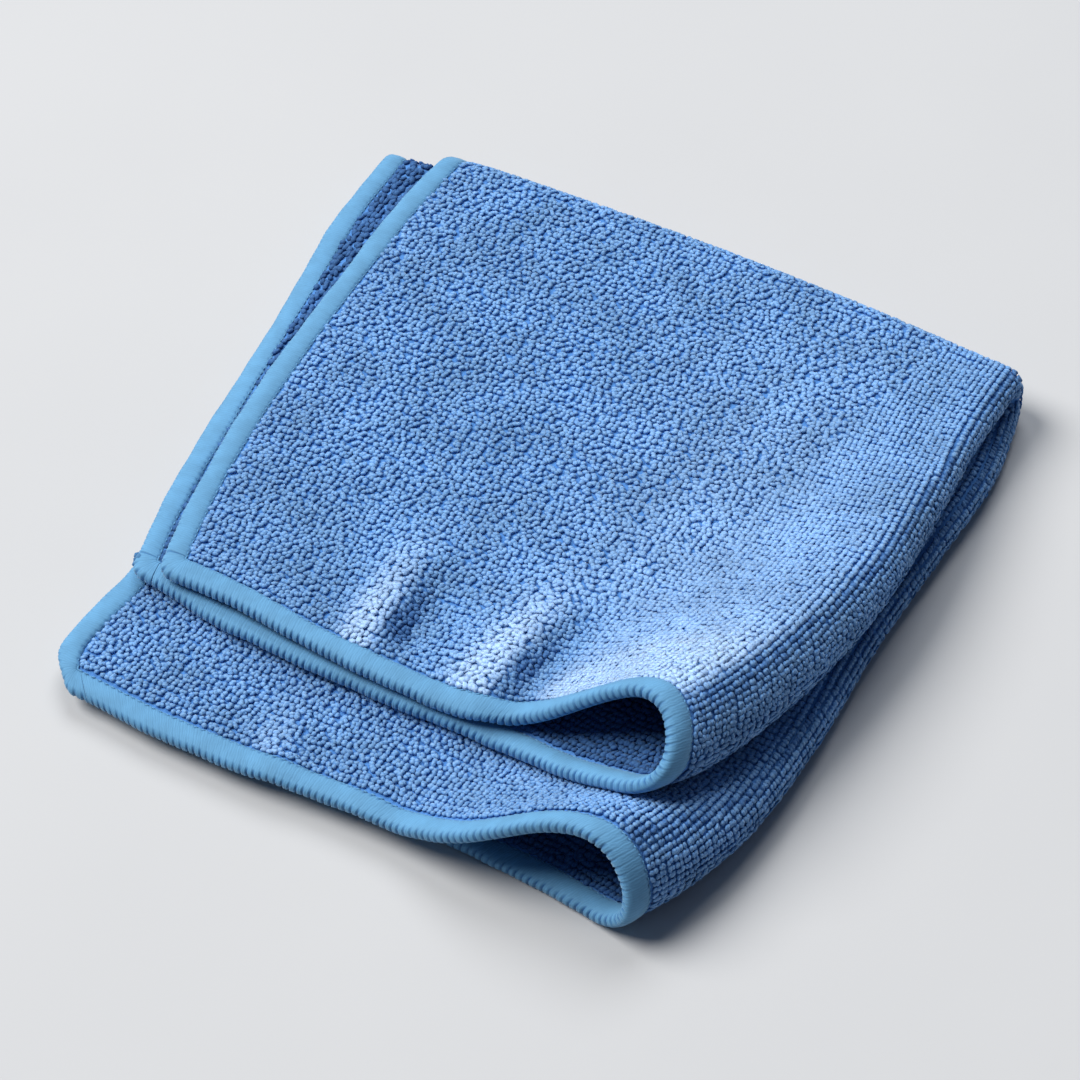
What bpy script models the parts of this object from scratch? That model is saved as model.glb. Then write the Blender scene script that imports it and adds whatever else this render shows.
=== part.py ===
"""A square of looped microfibre terry with an overlocked edge, folded in quarters (metres, +Z up).

The cloth is folded in half about a line at its right, where it keeps two round loops, and then in half
again about a line at its back. Counted from the top, layers 1 and 2 are the upper half and layers 3 and 4
the lower half. Layers 1 and 4 are the outer sheet, which goes round the outside of the back fold. Layers
2 and 3 are the inner sheet.

A place on the cloth has two coordinates. `along` runs from the back fold to the front hem: it is positive
on the upper half and negative on the lower half, in metres of cloth. `across` counts zones from the crest
of the loop at the right: 0 to 1 is the round nose of the loop, 1 to 2 its closing side and 2 to 3 the flat
part up to the left hem. It is positive on the outer sheet and negative on the inner one.
"""

import math
from collections import namedtuple

import bpy
from mathutils import Vector

LAYER_PITCH = 0.0040    # from the middle of one layer to the middle of the next
CLOTH_THICK = 0.0028    # both piles and the ground between them
BAND_WIDE = 0.0057      # the overlocked edge, measured in the cloth's own plane
BAND_THICK = 0.0032
SEAM_GAP = 0.0003       # between the cloth's rim and the band round it
LOWEST_Z = 0.0016       # middle of layer 4, which lies on the ground
SETTLE = 0.0004         # what comes this near the ground is pressed flat on it
FOLD_Y = 0.1345         # centre of the back fold
ORIGIN_X = 0.0585       # middle of the folded cloth's base, in the places above
ORIGIN_Y = 0.0559

# The back fold: the middle of the outer sheet goes round at this radius, the inner one PITCH inside it.
OUTER_RADIUS = 1.5 * LAYER_PITCH
FOLD_Z = LOWEST_Z + OUTER_RADIUS

# One row for each section across the cloth. crest_x: the outermost point of the loop. swell: how much taller
# than two touching layers the loop is. reach: how far from the crest it closes. outer_hem_x and inner_hem_x:
# the left hems of the outer and the inner sheet. lean: how far the loop's top is set back, for its height.
Section = namedtuple("Section", "along crest_x swell reach outer_hem_x inner_hem_x lean")
UPPER_HALF = (
    Section(0.0000, 0.1355, 0.0000, 0.014, -0.0070, -0.0226, 0.00),
    Section(0.0250, 0.1338, 0.0010, 0.020, -0.0095, -0.0229, 0.00),
    Section(0.0500, 0.1343, 0.0030, 0.027, -0.0100, -0.0202, 0.08),
    Section(0.0750, 0.1340, 0.0055, 0.034, -0.0100, -0.0176, 0.14),
    Section(0.1000, 0.1302, 0.0085, 0.040, -0.0088, -0.0153, 0.20),
    Section(0.1230, 0.1238, 0.0118, 0.042, -0.0060, -0.0128, 0.27),
    Section(0.1425, 0.1158, 0.0147, 0.038, -0.0020, -0.0090, 0.34),
)
LOWER_HALF = (
    Section(0.0000, 0.1355, 0.0000, 0.014, -0.0070, -0.0226, 0.00),
    Section(0.0250, 0.1385, 0.0005, 0.022, -0.0085, -0.0208, 0.00),
    Section(0.0500, 0.1368, 0.0014, 0.030, -0.0085, -0.0180, 0.05),
    Section(0.0800, 0.1343, 0.0024, 0.038, -0.0080, -0.0152, 0.10),
    Section(0.1100, 0.1336, 0.0036, 0.046, -0.0070, -0.0127, 0.18),
    Section(0.1350, 0.1311, 0.0062, 0.052, -0.0055, -0.0112, 0.24),
    Section(0.1520, 0.1265, 0.0122, 0.056, -0.0040, -0.0133, 0.30),
    Section(0.1610, 0.1225, 0.0156, 0.056, -0.0030, -0.0130, 0.32),
    Section(0.1680, 0.1190, 0.0162, 0.055, -0.0020, -0.0065, 0.33),
)

# The round nose of a loop: its depth on the swelling and on the level side, and how far its crest lies below
# the middle of its height, all for each metre of swell.
SWELLING_NOSE = 0.56
LEVEL_NOSE = 0.44
CREST_DROP = 0.1

# Soft ridges in layer 1, each from the front hem inwards, and a groove at the back right corner.
Ridge = namedtuple("Ridge", "front_x front_y back_x back_y wide high")
RIDGES = (
    Ridge(0.0430, 0.0100, 0.0400, 0.0360, 0.0070, 0.0018),
    Ridge(0.0680, 0.0080, 0.0780, 0.0360, 0.0085, 0.0022),
    Ridge(0.0980, 0.0220, 0.1080, 0.0550, 0.0130, 0.0018),
    Ridge(0.1300, 0.1000, 0.1220, 0.1320, 0.0050, -0.0011),
)
RIDGE_TAIL = 1.3        # a ridge is gone this far along it, its own length being 1
RIDGE_START = 1 / 3     # and this far before its front
RIDGE_ZONE = 0.5        # where on the loop's nose the ridges of layer 1 begin

# How the back fold bends away from a straight line, right and left of one place.
BACK_BEND_X = 0.042
BACK_BEND_RIGHT = 0.0050
BACK_BEND_LEFT = 0.0020
BACK_BEND_SPAN = 0.094
BACK_BEND_LIMIT = 1.1   # the bend grows from the front to this share of the way to the fold

# How much further forward than the back fold would leave it each layer's front hem lies, along X.
Slip = namedtuple("Slip", "x layer_1 layer_2 layer_3 layer_4")
FRONT_SLIPS = (
    Slip(-0.010, 0.0008, -0.0011, -0.0004, 0.0000),
    Slip(0.015, 0.0013, -0.0018, -0.0001, 0.0000),
    Slip(0.035, 0.0038, -0.0006, 0.0000, 0.0000),
    Slip(0.055, 0.0051, -0.0002, -0.0009, 0.0000),
    Slip(0.072, 0.0049, -0.0005, -0.0004, 0.0002),
    Slip(0.085, 0.0018, 0.0004, 0.0010, 0.0008),
    Slip(0.100, 0.0020, 0.0032, 0.0000, 0.0016),
    Slip(0.120, 0.0024, 0.0048, 0.0000, 0.0044),
)
SLIP_LENGTH = 0.1200

# The inner sheet overhangs layer 4 at the left and at the front, and sinks there.
LEFT_SAG = 0.0016
LEFT_SAG_FROM_X = -0.0105
FRONT_SAG = 0.0013
SAG_SPAN = 0.0080
# The inner sheet's left corners are drawn back from its front hems.
UPPER_CORNER_BACK = 0.0045
LOWER_CORNER_BACK = 0.0016
CORNER_END_X = 0.0180
CORNER_SPAN = 0.0280
CORNER_DEEP = 0.0600

# Beside the back fold the outer sheet's left hem droops, and the inner sheet's flares out behind it.
Flare = namedtuple("Flare", "from_x to_x back")
OUTER_FLARE = Flare(0.0080, -0.0080, -0.0006)
INNER_FLARE = Flare(-0.0090, -0.0190, 0.0012)
FLARE_LENGTH = 0.0450

# How finely the cloth is divided, and how much closer the steps are near a hem.
NOSE_STEPS = 5
SIDE_STEPS = 6
FLAT_STEPS = 6
FOLD_STEPS = 10
UPPER_STEPS = 12
LOWER_STEPS = 14
HEM_CROWDING = 1.4
BAND_SIDES = 8
BAND_FULLNESS = 0.7     # 1 would be an ellipse, 0 a rectangle
LEAN_ROUNDS = 4         # the lower loop's height and its lean depend on each other
PROBE = 0.0002          # step for measuring a slope along the cloth
ACROSS_PROBE = 0.01     # the same across it, in zones


def smooth(value):
    """0 to 1 with level ends."""
    value = min(max(value, 0.0), 1.0)
    return value * value * (3 - 2 * value)


def row_at(rows, key):
    """The row at a place between two rows of a table, on a smooth curve through all of them."""
    key = min(max(key, rows[0][0]), rows[-1][0])
    first = max(i for i in range(len(rows) - 1) if rows[i][0] <= key)
    low, high = rows[first], rows[first + 1]
    before = rows[max(first - 1, 0)]
    after = rows[min(first + 2, len(rows) - 1)]
    step = high[0] - low[0]
    part = (key - low[0]) / step
    values = [key]
    for start, end, earlier, later in zip(low[1:], high[1:], before[1:], after[1:]):
        slope_in = (end - earlier) / (high[0] - before[0])
        slope_out = (later - start) / (after[0] - low[0])
        curve = start * (2 * part**3 - 3 * part**2 + 1)
        curve += end * (3 * part**2 - 2 * part**3)
        curve += step * slope_in * (part**3 - 2 * part**2 + part)
        curve += step * slope_out * (part**3 - part**2)
        values.append(curve)
    return rows[0]._make(values)


def nose_depth(section):
    """How far from the crest the swelling side of the loop is at its highest."""
    return LAYER_PITCH / 2 + SWELLING_NOSE * section.swell


def swelling_rise(section, inward):
    """Height of the loop's swelling side above its level side, past the nose."""
    nose = nose_depth(section)
    return LAYER_PITCH + section.swell * (1 - smooth((inward - nose) / (section.reach - nose)))


def loop_point(section, zones, swelling, hem_x):
    """(distance in from the crest, rise above the level side) of one side of the folded section."""
    gap = LAYER_PITCH + section.swell
    crest_rise = gap / 2 - CREST_DROP * section.swell
    nose = nose_depth(section) if swelling else LAYER_PITCH / 2 + LEVEL_NOSE * section.swell
    if zones < 1:
        turn = zones * math.pi / 2
        rise = gap - crest_rise if swelling else -crest_rise
        return nose * (1 - math.cos(turn)), crest_rise + rise * math.sin(turn)
    if zones < 2:
        inward = nose + (section.reach - nose) * (zones - 1)
    else:
        inward = section.reach + (section.crest_x - hem_x - section.reach) * (zones - 2)
    return inward, swelling_rise(section, inward) if swelling else 0.0


def set_back(section, rise):
    """How far the loop leans back at a height above its level side."""
    return section.lean * rise**2 / (LAYER_PITCH + section.swell)


def lower_loop_lift(x, y):
    """How far the lower loop raises what lies on it."""
    level = FOLD_Y - y + math.pi / 2 * (OUTER_RADIUS - LAYER_PITCH)
    along, rise = level, LAYER_PITCH
    for _ in range(LEAN_ROUNDS):
        section = row_at(LOWER_HALF, along)
        rise = swelling_rise(section, max(section.crest_x - x, nose_depth(section)))
        along = level + set_back(section, rise)
    return rise - LAYER_PITCH


def ridge_height(x, y):
    """Height of the soft ridges at a place on layer 1."""
    total = 0.0
    for ridge in RIDGES:
        run_x, run_y = ridge.back_x - ridge.front_x, ridge.back_y - ridge.front_y
        part = ((x - ridge.front_x) * run_x + (y - ridge.front_y) * run_y) / (run_x**2 + run_y**2)
        beside_x = x - ridge.front_x - part * run_x
        beside_y = y - ridge.front_y - part * run_y
        beside = math.hypot(beside_x, beside_y) / ridge.wide
        fade = (1 - smooth(part / RIDGE_TAIL)) * smooth(1 + part / RIDGE_START)
        total += ridge.high * math.exp(-(beside**2)) * fade
    return total


def back_bend(x, y):
    """How far the bend of the back fold moves a place in Y."""
    share = min(max(y / FOLD_Y, 0.0), BACK_BEND_LIMIT) ** 2
    bend = BACK_BEND_RIGHT if x > BACK_BEND_X else BACK_BEND_LEFT
    return -share * bend * ((x - BACK_BEND_X) / BACK_BEND_SPAN) ** 2


def corner_back(x, along):
    """How far a left corner of the inner sheet is drawn back."""
    half = UPPER_HALF if along >= 0 else LOWER_HALF
    most = UPPER_CORNER_BACK if along >= 0 else LOWER_CORNER_BACK
    from_hem = (half[-1].along - abs(along)) / CORNER_DEEP
    return most * smooth((CORNER_END_X - x) / CORNER_SPAN) * (1 - smooth(from_hem))


def flare_back(x, along, flare):
    """How far back a left hem lies beside the back fold."""
    share = smooth((flare.from_x - x) / (flare.from_x - flare.to_x))
    return flare.back * share * (1 - smooth(abs(along) / FLARE_LENGTH))


def front_slip(x, along, risen):
    """How far forward a place has slipped; risen is 0 on the level side of its loop and 1 on the other."""
    row = row_at(FRONT_SLIPS, x)
    level, swelling = (row.layer_2, row.layer_1) if along >= 0 else (row.layer_4, row.layer_3)
    return (level + (swelling - level) * risen) * smooth(abs(along) / SLIP_LENGTH)


def place(across, along):
    """The middle of the cloth at a place, in space."""
    upper, outer = along >= 0, across >= 0
    section = row_at(UPPER_HALF if upper else LOWER_HALF, abs(along))
    hem_x = section.outer_hem_x if outer else section.inner_hem_x
    inward, rise = loop_point(section, abs(across), upper == outer, hem_x)
    depth = LAYER_PITCH - rise if upper else rise
    risen = rise / (LAYER_PITCH + section.swell) if abs(across) < 1 else float(upper == outer)
    held = LAYER_PITCH * (1 - risen if upper else risen)
    quarter = math.pi / 2 * (OUTER_RADIUS - held)
    x = section.crest_x - inward
    if abs(along) < quarter:
        turn = along / (OUTER_RADIUS - held)
        y = FOLD_Y + (OUTER_RADIUS - depth) * math.cos(turn)
        z = FOLD_Z + (OUTER_RADIUS - depth) * math.sin(turn)
    else:
        y = FOLD_Y - (abs(along) - quarter)
        z = FOLD_Z + (OUTER_RADIUS - depth) * (1 if upper else -1)
    y += set_back(section, rise)
    y -= front_slip(x, along, risen)
    y += back_bend(x, y) + flare_back(x, along, OUTER_FLARE if outer else INNER_FLARE)
    if not outer:
        y += corner_back(x, along)
    if upper:
        z += lower_loop_lift(x, y)
    if upper and outer:
        z += ridge_height(x, y) * smooth(abs(across) - RIDGE_ZONE)
    if not outer:
        z -= LEFT_SAG * smooth((LEFT_SAG_FROM_X - x) / SAG_SPAN)
    if not outer and not upper:
        z -= FRONT_SAG * smooth((-along - LOWER_HALF[-1].along + SAG_SPAN) / SAG_SPAN) * smooth(-across - 2)
    return Vector((x - ORIGIN_X, y - ORIGIN_Y, z))


def normal(across, along):
    """The cloth's outward normal: up on layer 1, down on layer 4."""
    before = max(across - ACROSS_PROBE, -3.0)
    after = min(across + ACROSS_PROBE, 3.0)
    over = place(after, along) - place(before, along)
    forward = place(across, along + PROBE) - place(across, along - PROBE)
    return forward.cross(over).normalized()


def hem_zone(outer, along, inset):
    """`across` at a distance in from the left hem."""
    section = row_at(UPPER_HALF if along >= 0 else LOWER_HALF, abs(along))
    hem_x = section.outer_hem_x if outer else section.inner_hem_x
    zones = 3 - inset / (section.crest_x - hem_x - section.reach)
    return zones if outer else -zones


def crowded(start, end, count):
    """Values from start up to but not at end, closer together near the end."""
    return [start + (end - start) * (1 - (1 - i / count) ** HEM_CROWDING) for i in range(count)]


def across_steps(along, inset):
    """The places across one section of the cloth, from the inner sheet's hem to the outer sheet's."""
    half = [i / NOSE_STEPS for i in range(NOSE_STEPS)]
    half += [1 + i / SIDE_STEPS for i in range(SIDE_STEPS)]
    inner_end = hem_zone(False, along, inset)
    outer_end = hem_zone(True, along, inset)
    inner = half + crowded(2, -inner_end, FLAT_STEPS) + [-inner_end]
    outer = half + crowded(2, outer_end, FLAT_STEPS) + [outer_end]
    return [-zones for zones in reversed(inner)] + outer[1:]


def along_steps(inset):
    """The places along the cloth, from the front hem of the lower half to that of the upper half."""
    turn = math.pi / 2 * OUTER_RADIUS
    lower_end = LOWER_HALF[-1].along - inset
    upper_end = UPPER_HALF[-1].along - inset
    lower = crowded(turn, lower_end, LOWER_STEPS) + [lower_end]
    upper = crowded(turn, upper_end, UPPER_STEPS) + [upper_end]
    fold = [turn * (2 * i / FOLD_STEPS - 1) for i in range(1, FOLD_STEPS)]
    return [-value for value in reversed(lower)] + fold + upper


def settled(point):
    """A point, pressed flat on the ground where it comes near it."""
    return Vector((point.x, point.y, 0.0)) if point.z < SETTLE else point


def cloth_mesh():
    """The folded panel: its two faces, a grid each, and the rim that joins them."""
    inset = BAND_WIDE + SEAM_GAP
    points, faces, rows = [], [], along_steps(inset)
    for side in (1, -1):
        for along in rows:
            for across in across_steps(along, inset):
                off = normal(across, along) * (side * CLOTH_THICK / 2)
                points.append(settled(place(across, along) + off))
    one_side = len(points) // 2
    columns = one_side // len(rows)
    for row in range(len(rows) - 1):
        for column in range(columns - 1):
            corner = row * columns + column
            ring = (corner, corner + columns, corner + columns + 1, corner + 1)
            faces.append(ring)
            faces.append(tuple(one_side + i for i in reversed(ring)))
    rim = [column for column in range(columns)]
    rim += [row * columns + columns - 1 for row in range(1, len(rows))]
    rim += [one_side - 1 - column for column in range(1, columns)]
    rim += [row * columns for row in range(len(rows) - 2, 0, -1)]
    for here, there in zip(rim, rim[1:] + rim[:1]):
        faces.append((here, there, one_side + there, one_side + here))
    return points, faces


def front_spots(half, sign, inset):
    """(outer edge, inner edge) of the band at each place along a front hem, from the inner sheet's side."""
    hem = half[-1].along
    steps = across_steps(sign * (hem - inset), inset)
    return [((across, sign * hem), (across, sign * (hem - BAND_WIDE))) for across in steps]


def side_spots(outer, inset):
    """The same along a left hem, from the lower half to the upper one."""
    edge = 3.0 if outer else -3.0
    return [((edge, along), (hem_zone(outer, along, BAND_WIDE), along)) for along in along_steps(inset)]


def corner_spot(outer, half, sign):
    """The same at a corner of the cloth."""
    hem = half[-1].along
    within = sign * (hem - BAND_WIDE)
    return ((3.0 if outer else -3.0, sign * hem), (hem_zone(outer, within, BAND_WIDE), within))


def band_spots():
    """(outer edge, inner edge) of the band, once round the cloth's rim."""
    inset = BAND_WIDE + SEAM_GAP
    spots = front_spots(UPPER_HALF, 1, inset)
    spots += [corner_spot(True, UPPER_HALF, 1)]
    spots += side_spots(True, inset)[::-1]
    spots += [corner_spot(True, LOWER_HALF, -1)]
    spots += front_spots(LOWER_HALF, -1, inset)[::-1]
    spots += [corner_spot(False, LOWER_HALF, -1)]
    spots += side_spots(False, inset)
    spots += [corner_spot(False, UPPER_HALF, 1)]
    return spots


def bulged(value):
    """A cosine or sine, pushed out towards a rectangle's sides."""
    return math.copysign(abs(value) ** BAND_FULLNESS, value)


def band_mesh():
    """The overlocked edge: a rounded bar, once round the rim."""
    points, faces = [], []
    spots = band_spots()
    for outer_edge, inner_edge in spots:
        middle_spot = [(a + b) / 2 for a, b in zip(outer_edge, inner_edge)]
        middle, up = place(*middle_spot), normal(*middle_spot)
        half_width = (place(*outer_edge) - place(*inner_edge)) / 2
        for side in range(BAND_SIDES):
            turn = 2 * math.pi * (side + 0.5) / BAND_SIDES
            off = half_width * bulged(math.cos(turn)) + up * (bulged(math.sin(turn)) * BAND_THICK / 2)
            points.append(settled(middle + off))
    for i in range(len(spots)):
        here, there = i * BAND_SIDES, (i + 1) % len(spots) * BAND_SIDES
        for side in range(BAND_SIDES):
            beside = (side + 1) % BAND_SIDES
            faces.append((here + side, there + side, there + beside, here + beside))
    return points, faces


def cloth_material(name, color, roughness, sheen):
    material = bpy.data.materials.new(name)
    material.use_nodes = True
    shader = material.node_tree.nodes["Principled BSDF"]
    shader.inputs["Base Color"].default_value = color
    shader.inputs["Roughness"].default_value = roughness
    shader.inputs["Metallic"].default_value = 0.0
    shader.inputs["Sheen Weight"].default_value = sheen
    material.diffuse_color = color
    return material


def add_object(name, shape, material):
    points, faces = shape
    mesh = bpy.data.meshes.new(name)
    mesh.from_pydata(points, [], faces)
    mesh.materials.append(material)
    mesh.update()
    mesh.shade_smooth()
    obj = bpy.data.objects.new(name, mesh)
    bpy.context.scene.collection.objects.link(obj)
    return obj


def main():
    for obj in list(bpy.data.objects):
        bpy.data.objects.remove(obj, do_unlink=True)
    pile = cloth_material("terry_pile", (0.07, 0.21, 0.56, 1.0), 0.95, 0.5)
    thread = cloth_material("edge_thread", (0.16, 0.42, 0.74, 1.0), 0.70, 0.2)
    add_object("terry_cloth", cloth_mesh(), pile)
    add_object("edge_binding", band_mesh(), thread)


main()
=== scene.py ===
"""Looks of a folded microfibre cloth: looped pile, overlocked edge, light and camera (metres, +Z up).

The cloth is folded in half about a line at its right, where it keeps two round loops, and then in half
again about a line at its back. Counted from the top, layers 1 and 2 are the upper half and layers 3 and 4
the lower half. Layers 1 and 4 are the outer sheet, which goes round the outside of the back fold. Layers
2 and 3 are the inner sheet.

A place on the cloth has two coordinates. `along` runs from the back fold to the front hem: it is positive
on the upper half and negative on the lower half, in metres of cloth. `across` counts zones from the crest
of the loop at the right: 0 to 1 is the round nose of the loop, 1 to 2 its closing side and 2 to 3 the flat
part up to the left hem. It is positive on the outer sheet and negative on the inner one. All functions of
a place take arrays.
"""

import math
from collections import namedtuple

import bpy
import numpy as np
from mathutils import Matrix, Vector
from mathutils.bvhtree import BVHTree


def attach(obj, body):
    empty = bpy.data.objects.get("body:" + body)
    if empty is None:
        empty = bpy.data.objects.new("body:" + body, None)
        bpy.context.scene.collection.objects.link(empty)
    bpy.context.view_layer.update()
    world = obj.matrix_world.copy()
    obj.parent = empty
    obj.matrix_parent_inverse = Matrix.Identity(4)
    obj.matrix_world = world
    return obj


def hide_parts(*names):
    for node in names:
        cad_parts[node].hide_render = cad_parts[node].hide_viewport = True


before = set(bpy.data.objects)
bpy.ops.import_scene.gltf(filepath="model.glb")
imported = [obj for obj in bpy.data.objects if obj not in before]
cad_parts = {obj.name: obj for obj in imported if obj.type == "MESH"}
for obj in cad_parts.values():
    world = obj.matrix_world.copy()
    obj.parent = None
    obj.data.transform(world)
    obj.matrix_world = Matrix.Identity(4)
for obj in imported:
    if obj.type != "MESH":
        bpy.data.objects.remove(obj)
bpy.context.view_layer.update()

LAYER_PITCH = 0.0040    # from the middle of one layer to the middle of the next
FOLD_Y = 0.1345         # centre of the back fold
ORIGIN = np.array([0.0585, 0.0559, 0.0])        # middle of the folded cloth's base, in the places above
LOWEST_Z = 0.0016       # middle of layer 4
OUTER_RADIUS = 1.5 * LAYER_PITCH                # of the back fold, in the middle of the outer sheet
FOLD_Z = LOWEST_Z + OUTER_RADIUS
HEM_ZONE = 3.0          # `across` at a left hem

# One row for each section across the cloth. crest_x: the outermost point of the loop. swell: how much taller
# than two touching layers the loop is. reach: how far from the crest it closes. outer_hem_x and inner_hem_x:
# the left hems of the outer and the inner sheet. lean: how far the loop's top is set back, for its height.
Section = namedtuple("Section", "along crest_x swell reach outer_hem_x inner_hem_x lean")
UPPER_HALF = (
    Section(0.0000, 0.1355, 0.0000, 0.014, -0.0070, -0.0226, 0.00),
    Section(0.0250, 0.1338, 0.0010, 0.020, -0.0095, -0.0229, 0.00),
    Section(0.0500, 0.1343, 0.0030, 0.027, -0.0100, -0.0202, 0.08),
    Section(0.0750, 0.1340, 0.0055, 0.034, -0.0100, -0.0176, 0.14),
    Section(0.1000, 0.1302, 0.0085, 0.040, -0.0088, -0.0153, 0.20),
    Section(0.1230, 0.1238, 0.0118, 0.042, -0.0060, -0.0128, 0.27),
    Section(0.1425, 0.1158, 0.0147, 0.038, -0.0020, -0.0090, 0.34),
)
LOWER_HALF = (
    Section(0.0000, 0.1355, 0.0000, 0.014, -0.0070, -0.0226, 0.00),
    Section(0.0250, 0.1385, 0.0005, 0.022, -0.0085, -0.0208, 0.00),
    Section(0.0500, 0.1368, 0.0014, 0.030, -0.0085, -0.0180, 0.05),
    Section(0.0800, 0.1343, 0.0024, 0.038, -0.0080, -0.0152, 0.10),
    Section(0.1100, 0.1336, 0.0036, 0.046, -0.0070, -0.0127, 0.18),
    Section(0.1350, 0.1311, 0.0062, 0.052, -0.0055, -0.0112, 0.24),
    Section(0.1520, 0.1265, 0.0122, 0.056, -0.0040, -0.0133, 0.30),
    Section(0.1610, 0.1225, 0.0156, 0.056, -0.0030, -0.0130, 0.32),
    Section(0.1680, 0.1190, 0.0162, 0.055, -0.0020, -0.0065, 0.33),
)

# The round nose of a loop: its depth on the swelling and on the level side, and how far its crest lies below
# the middle of its height, all for each metre of swell.
SWELLING_NOSE = 0.56
LEVEL_NOSE = 0.44
CREST_DROP = 0.1

# Soft ridges in layer 1, each from the front hem inwards, and a groove at the back right corner.
Ridge = namedtuple("Ridge", "front_x front_y back_x back_y wide high")
RIDGES = (
    Ridge(0.0430, 0.0100, 0.0400, 0.0360, 0.0070, 0.0018),
    Ridge(0.0680, 0.0080, 0.0780, 0.0360, 0.0085, 0.0022),
    Ridge(0.0980, 0.0220, 0.1080, 0.0550, 0.0130, 0.0018),
    Ridge(0.1300, 0.1000, 0.1220, 0.1320, 0.0050, -0.0011),
)

# Finer ridges and troughs, on layer 1 and on layer 3.
UPPER_CREASES = (
    Ridge(0.0385, 0.0100, 0.0360, 0.0360, 0.0040, -0.0005),
    Ridge(0.0465, 0.0060, 0.0467, 0.0330, 0.0042, 0.0009),
    Ridge(0.0530, 0.0100, 0.0535, 0.0310, 0.0046, -0.0012),
    Ridge(0.0735, 0.0050, 0.0770, 0.0320, 0.0042, 0.0009),
    Ridge(0.0805, 0.0130, 0.0850, 0.0310, 0.0044, -0.0011),
    Ridge(0.0960, 0.0500, 0.0880, 0.0900, 0.0090, 0.0006),
    Ridge(0.0300, 0.0700, 0.0420, 0.1000, 0.0080, -0.0005),
    Ridge(0.1040, 0.0040, 0.1120, 0.0260, 0.0085, -0.0010),
)
LOWER_CREASES = (
    Ridge(0.0310, -0.0190, 0.0340, -0.0060, 0.0038, -0.0006),
    Ridge(0.0415, -0.0250, 0.0395, -0.0080, 0.0045, 0.0009),
    Ridge(0.0630, -0.0240, 0.0610, -0.0080, 0.0050, 0.0008),
)
RIDGE_TAIL = 1.3        # a ridge is gone this far along it, its own length being 1
RIDGE_START = 1 / 3     # and this far before its front
RIDGE_ZONE = 0.5        # where on the loop's nose the ridges begin

# How the back fold bends away from a straight line, right and left of one place.
BACK_BEND_X = 0.042
BACK_BEND_RIGHT = 0.0050
BACK_BEND_LEFT = 0.0020
BACK_BEND_SPAN = 0.094
BACK_BEND_LIMIT = 1.1   # the bend grows from the front to this share of the way to the fold

# How much further forward than the back fold would leave it each layer's front hem lies, along X.
Slip = namedtuple("Slip", "x layer_1 layer_2 layer_3 layer_4")
FRONT_SLIPS = (
    Slip(-0.010, 0.0008, -0.0011, -0.0004, 0.0000),
    Slip(0.015, 0.0013, -0.0018, -0.0001, 0.0000),
    Slip(0.035, 0.0038, -0.0006, 0.0000, 0.0000),
    Slip(0.055, 0.0051, -0.0002, -0.0009, 0.0000),
    Slip(0.072, 0.0049, -0.0005, -0.0004, 0.0002),
    Slip(0.085, 0.0018, 0.0004, 0.0010, 0.0008),
    Slip(0.100, 0.0020, 0.0032, 0.0000, 0.0016),
    Slip(0.120, 0.0024, 0.0048, 0.0000, 0.0044),
)
SLIP_LENGTH = 0.1200

# The inner sheet overhangs layer 4 at the left and at the front, and sinks there.
LEFT_SAG = 0.0016
LEFT_SAG_FROM_X = -0.0105
FRONT_SAG = 0.0013
SAG_SPAN = 0.0080

# The inner sheet's left corners are drawn back from its front hems.
UPPER_CORNER_BACK = 0.0045
LOWER_CORNER_BACK = 0.0016
CORNER_END_X = 0.0180
CORNER_SPAN = 0.0280
CORNER_DEEP = 0.0600

# Beside the back fold the outer sheet's left hem droops, and the inner sheet's flares out behind it.
Flare = namedtuple("Flare", "from_x to_x back")
OUTER_FLARE = Flare(0.0080, -0.0080, -0.0006)
INNER_FLARE = Flare(-0.0090, -0.0190, 0.0012)
FLARE_LENGTH = 0.0450

LEAN_ROUNDS = 4         # the lower loop's height and its lean depend on each other
PROBE = 0.0002          # step for measuring a slope along the cloth
ACROSS_PROBE = 0.01     # the same across it, in zones


def smooth(value):
    """0 to 1 with level ends."""
    value = np.clip(value, 0.0, 1.0)
    return value * value * (3 - 2 * value)


def unit(vectors):
    """Vectors, made one long."""
    return vectors / np.linalg.norm(vectors, axis=-1, keepdims=True)


def row_at(rows, key):
    """The rows at places between those of a table, on smooth curves through all of them."""
    table = np.array(rows)
    key = np.clip(key, table[0, 0], table[-1, 0])
    first = np.clip(np.searchsorted(table[:, 0], key, side="right") - 1, 0, len(table) - 2)
    low, high = table[first], table[first + 1]
    before = table[np.maximum(first - 1, 0)]
    after = table[np.minimum(first + 2, len(table) - 1)]
    step = high[..., :1] - low[..., :1]
    part = (key[..., None] - low[..., :1]) / step
    slope_in = (high - before) / (high[..., :1] - before[..., :1])
    slope_out = (after - low) / (after[..., :1] - low[..., :1])
    curve = low * (2 * part**3 - 3 * part**2 + 1)
    curve += high * (3 * part**2 - 2 * part**3)
    curve += step * slope_in * (part**3 - 2 * part**2 + part)
    curve += step * slope_out * (part**3 - part**2)
    curve[..., 0] = key
    return rows[0]._make(np.moveaxis(curve, -1, 0))


def section_at(along):
    """The sections of the half that each place lies on."""
    pairs = zip(row_at(UPPER_HALF, abs(along)), row_at(LOWER_HALF, abs(along)))
    return Section._make(np.where(along >= 0, above, below) for above, below in pairs)


def nose_depth(section):
    """How far from the crest the swelling side of the loop is at its highest."""
    return LAYER_PITCH / 2 + SWELLING_NOSE * section.swell


def swelling_rise(section, inward):
    """Height of the loop's swelling side above its level side, past the nose."""
    nose = nose_depth(section)
    return LAYER_PITCH + section.swell * (1 - smooth((inward - nose) / (section.reach - nose)))


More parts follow.
